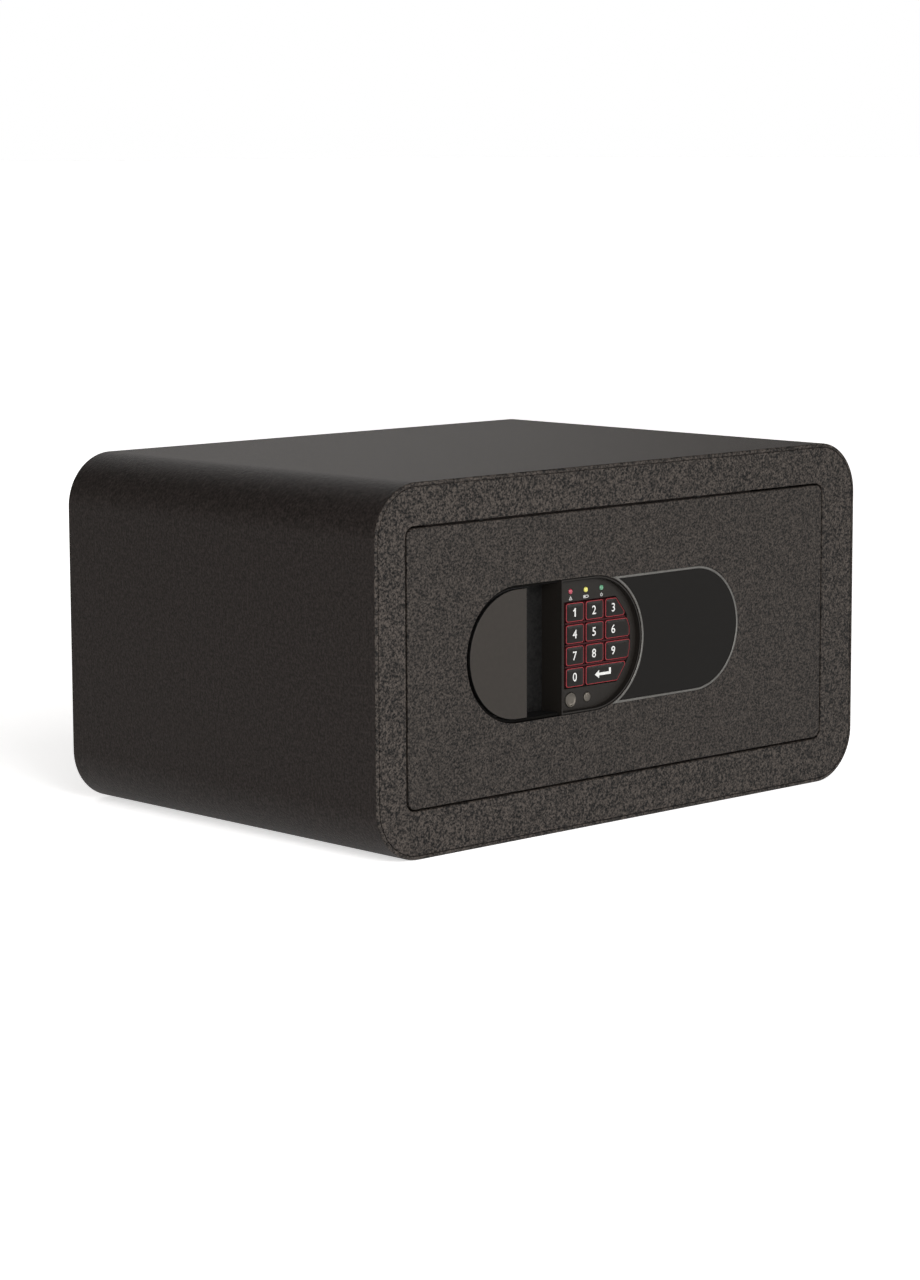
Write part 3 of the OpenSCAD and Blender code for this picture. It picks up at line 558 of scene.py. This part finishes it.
BOSSES = [(-153, 78), (-153, 126), (-50, 41), (-50, 163), (48, 163), (117, 41), (117, 97)]
ic0, ic1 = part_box("inner_cover")
COVER0, COVER1 = ic0.y * 1000, ic1.y * 1000
bm = bmesh.new()
holes = [circle(x, z, 2, 24) for x, z in BOSSES] + [circle(100, 57, 4.4, 32), [(55.8, 104.8), (119.2, 104.8), (119.2, 165.2), (55.8, 165.2)]]
plate_into(bm, rrect(ic0.x * 1000, ic0.z * 1000, ic1.x * 1000, ic1.z * 1000, 4, 10), holes, COVER0, COVER1, 0.02, 0.28)
make("inner_cover_skin", bm, M["inner_paint"], "door", ["inner_cover"])

bm = bmesh.new()
for x, z in BOSSES:
    hexagon = [(x + 1.5 * math.cos(math.radians(60 * k + 17)), z + 1.5 * math.sin(math.radians(60 * k + 17))) for k in range(6)]
    plate_into(bm, circle(x, z, 3.6, 40), [hexagon], COVER1, COVER1 + 2.2, 0.05, 0.75, 4)
    turn_into(bm, x, z, [(0, COVER1 - 10), (1.2, COVER1 - 10), (1.7, COVER1 - 9.3), (1.7, COVER1 + 1.0), (0, COVER1 + 1.0)], 28)
make("inner_screws_domed", bm, M["zinc_steel"], "door", ["inner_cover_screws"])

bm = bmesh.new()
lid_line = rrect(54, 104.3, 120.4, 165.7, 1.2, 6)
plate_into(bm, lid_line, [], -89, -88, 0.05, 0.01)
plate_into(bm, lid_line, [rrect(64 + i * 9, 118, 66 + i * 9, 152, 0.9, 5) for i in range(4)], -88.01, -87.4, 0.01, 0.25)
plate_into(bm, rrect(51.6, 128, 54.3, 142, 0.8, 5), [], -89, -86.4, 0.2, 0.5)
rod_z(bm, 120.4, -87.2, 104.3, 165.7, 1.8)
rod_z(bm, 120.4, -87.2, 102, 168, 1)
make("battery_cover_skin", bm, M["box_plastic"], "battery_lid", ["battery_cover"])

bm = bmesh.new()
turn_into(bm, 100, 57, [(0, -110), (1.9, -110), (1.9, -93.6), (5.4, -93.6), (5.4, -92.3), (4, -92.3), (4, -88.5), (3.85, -88.15), (3.5, -88), (2.8, -88.05), (1.6, -88.25), (0, -88.32)], 40)
make("code_button_cap", bm, M["button_red"], "code_button", ["code_button"])

# ---------------------------------------------------------------- keypad

KL = [-48.1, -32.75, -17.4]
KR = [-34.25, -18.9]
ROW = [120.1, 108.1, 96.1, 84.1]
KH = 5.25


def box_key(c, i):
    return [(KL[c], ROW[i] - KH), (KR[c], ROW[i] - KH), (KR[c], ROW[i] + KH), (KL[c], ROW[i] + KH)]


def low(i):
    return ROW[i] - KH


KEYS = {
    "key_1": (box_key(0, 0), "1", -41.7, ROW[0]),
    "key_2": (box_key(1, 0), "2", -26.7, ROW[0]),
    "key_3": ([(KL[2], low(0)), (-0.4, low(0)), (-8.9, low(0) + 10.5), (KL[2], low(0) + 10.5)], "3", -11.55, ROW[0]),
    "key_4": (box_key(0, 1), "4", -41.7, ROW[1]),
    "key_5": (box_key(1, 1), "5", -26.7, ROW[1]),
    "key_6": ([(KL[2], low(1)), (1.9, low(1)), (1.8, low(1) + 5.6), (-0.4, low(1) + 10.5), (KL[2], low(1) + 10.5)], "6", -11.55, ROW[1]),
    "key_7": (box_key(0, 2), "7", -41.7, ROW[2]),
    "key_8": (box_key(1, 2), "8", -26.7, ROW[2]),
    "key_9": ([(KL[2], low(2)), (0.7, low(2)), (1.9, low(2) + 5), (2.2, low(2) + 10.5), (KL[2], low(2) + 10.5)], "9", -11.55, ROW[2]),
    "key_0": (box_key(0, 3), "0", -41.7, 84.4),
    "key_enter": ([(KL[1], low(3)), (-7.9, low(3)), (0, low(3) + 10.5), (KL[1], low(3) + 10.5)], "", -19.5, 84.4),
}
block = [(KL[0], low(3)), (-7.9, low(3)), (0, low(3) + 10.5), (0.9, low(2)), (2.2, low(2) + 10.5), (2.0, low(1) + 5.6), (-0.3, low(1) + 10.5), (-0.4, low(0)), (-8.9, low(0) + 10.5), (KL[0], low(0) + 10.5)]
LEDS = [(-43.9, 131.7), (-32.0, 131.7), (-19.8, 131.7)]
SNAPS = [(-44.1, 71.8, 4.15), (-31.1, 72.1, 2.75)]

d_out = turned(d_right(CRX, CZ, 37.25, -54.1))
d_in = turned(d_right(CRX, CZ, 35.75, -52.6), False)
window = turned(offset(turned(block), -0.7), False)
bm = bmesh.new()
o_rings = [ring_verts(bm, offset(d_out, i) if i > 1e-6 else d_out, y) for i, y in [(0.35, FRONT), (0.1, FRONT + 0.1), (0, FRONT + 0.35), (0, -110.4)]]
i_rings = [ring_verts(bm, offset(d_in, i) if i > 1e-6 else d_in, y) for i, y in [(0.35, FRONT), (0.1, FRONT + 0.1), (0, FRONT + 0.35), (0, -127.3), (-0.09, -127.09), (-0.3, -127)]]
for rs in (o_rings, i_rings):
    for p, q in zip(rs, rs[1:]):
        skin(bm, p, q)
cap(bm, [o_rings[0], i_rings[0]])
fronts, backs = [], []
for h in [window] + [turned(circle(x, z, 1.6, 24), False) for x, z in LEDS] + [turned(circle(x, z, r + 0.1, 40), False) for x, z, r in SNAPS]:
    rs = [ring_verts(bm, offset(h, i) if i > 1e-6 else h, y) for i, y in [(0.12, -127), (0, -126.88), (0, -125.4)]]
    for p, q in zip(rs, rs[1:]):
        skin(bm, p, q)
    fronts.append(rs[0])
    backs.append(rs[-1])
cap(bm, [i_rings[-1]] + fronts)
b0, b1 = ring_verts(bm, d_in, -125.4), ring_verts(bm, d_in, -110.4)
skin(bm, b0, b1)
cap(bm, [b0] + backs)
cap(bm, [o_rings[-1], b1])
make("keypad_skin", bm, M["housing_plastic"], "door", ["keypad_housing"])
housing = bpy.data.objects["keypad_skin"]
# the rounded front edge of the housing is painted near-black as shade, standing for the dark line round the keypad
housing.data.materials.append(M["painted_shade"])
for p in housing.data.polygons:
    if p.center.y * 1000 < FRONT + 0.34 and abs(p.normal.y) < 0.95:
        p.material_index = 1


def mark(name, loops, y0, y1, m, body):
    bm = bmesh.new()
    for l in loops:
        if isinstance(l, tuple):
            plate_into(bm, l[0], l[1], y0, y1, 0.02, 0.005, 1)
        else:
            plate_into(bm, l, [], y0, y1, 0.02, 0.005, 1)
    return make(name, bm, m, body)


def digit(name, text, cx, cz, height, y, body):
    cu = bpy.data.curves.new(name, "FONT")
    cu.body = text
    cu.size = 0.007
    cu.offset = 0.00004
    cu.extrude = 0.00004
    cu.resolution_u = 4
    tmp = bpy.data.objects.new(name + "_tmp", cu)
    bpy.context.scene.collection.objects.link(tmp)
    bpy.context.view_layer.update()
    me = bpy.data.meshes.new_from_object(tmp.evaluated_get(bpy.context.evaluated_depsgraph_get()))
    bpy.data.objects.remove(tmp)
    xs = [v.co.x for v in me.vertices]
    ys = [v.co.y for v in me.vertices]
    k = height / 1000 / (max(ys) - min(ys))
    mx, my = (max(xs) + min(xs)) / 2, (max(ys) + min(ys)) / 2
    for v in me.vertices:
        x, z, d = (v.co.x - mx) * k, (v.co.y - my) * k, v.co.z
        v.co = (cx / 1000 + x, y / 1000 - d, cz / 1000 + z)
    o = bpy.data.objects.new(name, me)
    bpy.context.scene.collection.objects.link(o)
    dress(o, M["mark_white"])
    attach(o, body)
    return o


POSTS = {"key_0": (-42.1, ROW[3]), "key_1": (-42.1, ROW[0]), "key_2": (-26.75, ROW[0]), "key_3": (-11.5, ROW[0]), "key_4": (-42.1, ROW[1]), "key_5": (-26.75, ROW[1]), "key_6": (-9.5, ROW[1]), "key_7": (-42.1, ROW[2]), "key_8": (-26.75, ROW[2]), "key_9": (-9.5, ROW[2]), "key_enter": (-18.5, ROW[3])}
DOME = [(0.0, -126.9), (0.0, -127.45), (0.05, -127.6), (0.12, -127.66), (0.9, -127.85), (1.8, -127.98), (3.0, -128.1)]


def dome_y(i):
    for (a, ya), (b, yb) in zip(DOME[1:], DOME[2:]):
        if i <= b:
            return ya + (yb - ya) * (i - a) / (b - a)
    return DOME[-1][1]


for name, (P, text, mx, mz) in KEYS.items():
    base = turned(P)
    bm = bmesh.new()
    rings = [ring_verts(bm, rounded(base, 1.5), -124.8), ring_verts(bm, rounded(base, 1.5), -126.9)]
    for i, y in DOME[1:]:
        rings.append(ring_verts(bm, rounded(offset(base, i), max(0.35, 1.5 - i * 0.6)), y))
    counts = {len(r) for r in rings}
    if len(counts) > 1:
        raise SystemExit("ring counts differ on " + name)
    for p, q in zip(rings, rings[1:]):
        skin(bm, p, q)
    bm.faces.new(rings[0])
    bm.faces.new(rings[-1])
    turn_into(bm, POSTS[name][0], POSTS[name][1], [(0, -124.9), (2.4, -124.9), (2.4, -122.5), (2.2, -122.3), (0, -122.3)], 24)
    k = make(name + "_cap", bm, M["key_plastic"], name, [name], 50)
    k.data.materials.append(M["key_edge"])
    for p in k.data.polygons:
        c = p.center
        if c.y > -0.12764:
            p.material_index = 1
    bm = bmesh.new()
    rs = []
    for i, dy in ((0.12, 0.0), (0.14, -0.03), (0.42, -0.03), (0.44, 0.0)):
        rs.append(ring_verts(bm, rounded(offset(base, i), max(0.35, 1.5 - i * 0.6)), dome_y(i) + dy + 0.01))
    for p, q in zip(rs, rs[1:]):
        skin(bm, p, q)
    skin(bm, rs[-1], rs[0])
    make(name + "_line", bm, M["line_red"], name)
    if text == "1":
        one = [(0.45, -2.4), (0.45, 2.4), (-0.35, 2.4), (-0.75, 1.75), (-1.55, 1.25), (-1.55, 0.45), (-0.55, 0.85), (-0.55, -2.4)]
        mark(name + "_mark", [[(mx + 0.3 + px, mz + pz) for px, pz in one]], -128.16, -128.0, M["mark_white"], name)
    elif text:
        digit(name + "_mark", text, mx, mz, 4.8, -128.12, name)
    else:
        x0, z0 = mx, mz
        arrow = [(x0 - 6.5, z0 - 0.4), (x0 - 3.2, z0 + 1.9), (x0 - 3.2, z0 + 0.35), (x0 + 4.6, z0 + 0.35), (x0 + 4.6, z0 + 2.4), (x0 + 6.1, z0 + 2.4), (x0 + 6.1, z0 - 1.15), (x0 - 3.2, z0 - 1.15), (x0 - 3.2, z0 - 2.7)]
        mark(name + "_mark", [arrow], -128.16, -128.0, M["mark_white"], name)

for (x, z), c in zip(LEDS, ("red", "yellow", "green")):
    bm = bmesh.new()
    dome = [(1.45 * math.sin(t), -126.9 - 0.75 * math.cos(t)) for t in [k * math.pi / 16 for k in range(9)]]
    turn_into(bm, x, z, dome + [(1.45, -124.5), (0, -124.5)], 32)
    make("led_" + c + "_lens", bm, M["led_" + c], "door", ["led_" + c])

x, z, r = SNAPS[0]
bm = bmesh.new()
turn_into(bm, x, z, [(0, -127.12), (1.2, -127.14), (2.8, -127.2), (3.1, -127.3), (3.3, -127.45), (3.6, -127.5), (3.9, -127.45), (4.1, -127.2), (r, -126.9), (r, -125.6), (2, -125.6), (2, -121.4), (0, -121.4)], 56)
make("contact_large_stud", bm, M["contact_nickel"], "door", ["contact_large"])
x, z, r = SNAPS[1]
bm = bmesh.new()
turn_into(bm, x, z, [(0, -127.6), (1.2, -127.58), (2.1, -127.48), (2.6, -127.25), (r, -126.9), (r, -125.6), (1.6, -125.6), (1.6, -121.4), (0, -121.4)], 48)
make("contact_small_stud", bm, M["contact_nickel"], "door", ["contact_small"])

# small white signs under the lamps: a warning triangle, a battery and a ring with a bar
zc = 127.9
t = [(-43.9 - 1.35, zc - 0.95), (-43.9 + 1.35, zc - 0.95), (-43.9, zc + 1.25)]
t_in = list(reversed(offset(turned(t), 0.28)))
mark("sign_fault", [(t, [t_in]), [(-44.02, zc - 0.15), (-43.78, zc - 0.15), (-43.78, zc + 0.45), (-44.02, zc + 0.45)]], -127.03, -126.98, M["mark_white"], "door")
bx = -32.0
b_out = [(bx - 1.9, zc - 0.8), (bx + 1.7, zc - 0.8), (bx + 1.7, zc + 0.8), (bx - 1.9, zc + 0.8)]
mark("sign_battery", [(b_out, [list(reversed(offset(turned(b_out), 0.26)))]), [(bx + 1.75, zc - 0.35), (bx + 2.1, zc - 0.35), (bx + 2.1, zc + 0.35), (bx + 1.75, zc + 0.35)], [(bx - 1.4, zc - 0.32), (bx - 0.2, zc - 0.32), (bx - 0.2, zc + 0.32), (bx - 1.4, zc + 0.32)]], -127.03, -126.98, M["mark_white"], "door")
gx = -19.8
ring = clean(arc(gx, zc, 0.95, 125, 415, 28) + arc(gx, zc, 0.68, 415, 125, 28))
mark("sign_power", [ring, [(gx - 0.14, zc), (gx + 0.14, zc), (gx + 0.14, zc + 1.1), (gx - 0.14, zc + 1.1)]], -127.03, -126.98, M["mark_white"], "door")

# ---------------------------------------------------------------- bare nameplate and its silver line

bm = bmesh.new()
o_l, i_l = turned(name_loop(0, 37.9)), turned(name_loop(1.3, 39.2), False)
plate_into(bm, o_l, [i_l], FRONT, -128.8, 0.25, 0.02, 3)
make("trim_skin", bm, M["trim_silver"], "door", ["nameplate_trim"])
bm = bmesh.new()
plate_into(bm, turned(name_loop(1.32, 39.22)), [], -129.8, -128.8, 0.08, 0.02, 2)
make("nameplate_skin", bm, M["name_plastic"], "door", ["nameplate"])

# ---------------------------------------------------------------- stage, light and camera

bpy.ops.mesh.primitive_plane_add(size=120, location=(0, 0, -0.0002))
floor = bpy.context.object
floor.name = "floor"
fm, fnt, fb = new_mat("pale_floor")
fv = coords(fnt)
ff = noise(fnt, fv, 3.0, 2.0)
fnt.links.new(ramp(fnt, ff, [(0.3, (0.9, 0.9, 0.9)), (0.7, (0.93, 0.93, 0.93))]), fb.inputs["Base Color"])
fb.inputs["Roughness"].default_value = 0.9
fb.inputs["Emission Color"].default_value = (1, 1, 1, 1)
fb.inputs["Emission Strength"].default_value = 0.6
fb.inputs["Specular IOR Level"].default_value = 0.1
dress(floor, fm)

world = bpy.data.worlds.new("studio")
bpy.context.scene.world = world
world.use_nodes = True
wt = world.node_tree
bg = wt.nodes["Background"]
wc = wt.nodes.new("ShaderNodeTexCoord")
ws = wt.nodes.new("ShaderNodeSeparateXYZ")
wt.links.new(wc.outputs["Generated"], ws.inputs[0])
sky = ramp(wt, math_node(wt, "MULTIPLY_ADD", ws.outputs[2], 0.5, 0.5), [(0.5, (0.91, 0.8, 0.72)), (0.62, (0.43, 0.4, 0.37)), (0.9, (0.12, 0.12, 0.12))])
wt.links.new(sky, bg.inputs["Color"])
bg.inputs["Strength"].default_value = 1.0
bg2 = wt.nodes.new("ShaderNodeBackground")
bg2.inputs["Color"].default_value = (1, 1, 1, 1)
bg2.inputs["Strength"].default_value = 1.0
lp = wt.nodes.new("ShaderNodeLightPath")
mx = wt.nodes.new("ShaderNodeMixShader")
wt.links.new(lp.outputs["Is Camera Ray"], mx.inputs[0])
wt.links.new(bg.outputs[0], mx.inputs[1])
wt.links.new(bg2.outputs[0], mx.inputs[2])
wt.links.new(mx.outputs[0], wt.nodes["World Output"].inputs["Surface"])


def area(name, loc, target, size, power):
    d = bpy.data.lights.new(name, "AREA")
    d.shape = "RECTANGLE"
    d.size, d.size_y = size
    d.energy = power
    o = bpy.data.objects.new(name, d)
    bpy.context.scene.collection.objects.link(o)
    o.location = loc
    o.rotation_euler = (Vector(target) - Vector(loc)).to_track_quat("-Z", "Y").to_euler()
    return o


sun = bpy.data.lights.new("key", "SUN")
sun.energy = 2.4
sun.angle = math.radians(60)
so = bpy.data.objects.new("key", sun)
bpy.context.scene.collection.objects.link(so)
area("back_box", (0.9, 1.7, 1.2), (0, 0, 0.15), (1.6, 1.0), 9)
area("front_box", (-0.48, -0.95, 0.42), (0, -0.13, 0.1), (0.5, 0.5), 7.5)
area("glint", (1.2, -1.7, 0.44), (-0.03, -0.127, 0.1), (0.4, 0.3), 6)
so.rotation_euler = Vector((0.2, 0.92, -0.34)).to_track_quat("-Z", "Y").to_euler()

rot = Matrix(((0.7262135, 0.1010544, -0.6800014), (-0.6874568, 0.1008155, -0.7191935), (-0.004123, 0.9897597, 0.1426841)))
cd = bpy.data.cameras.new("camera")
cd.lens = 97.162
cd.sensor_width = 36
cd.clip_end = 300
cam = bpy.data.objects.new("camera", cd)
bpy.context.scene.collection.objects.link(cam)
cam.matrix_world = Matrix.Translation((-1.3711693, -1.4428451, 0.3745353)) @ rot.to_4x4()
bpy.context.scene.camera = cam

bpy.context.scene.view_settings.view_transform = "Standard"
bpy.context.scene.view_settings.look = "None"
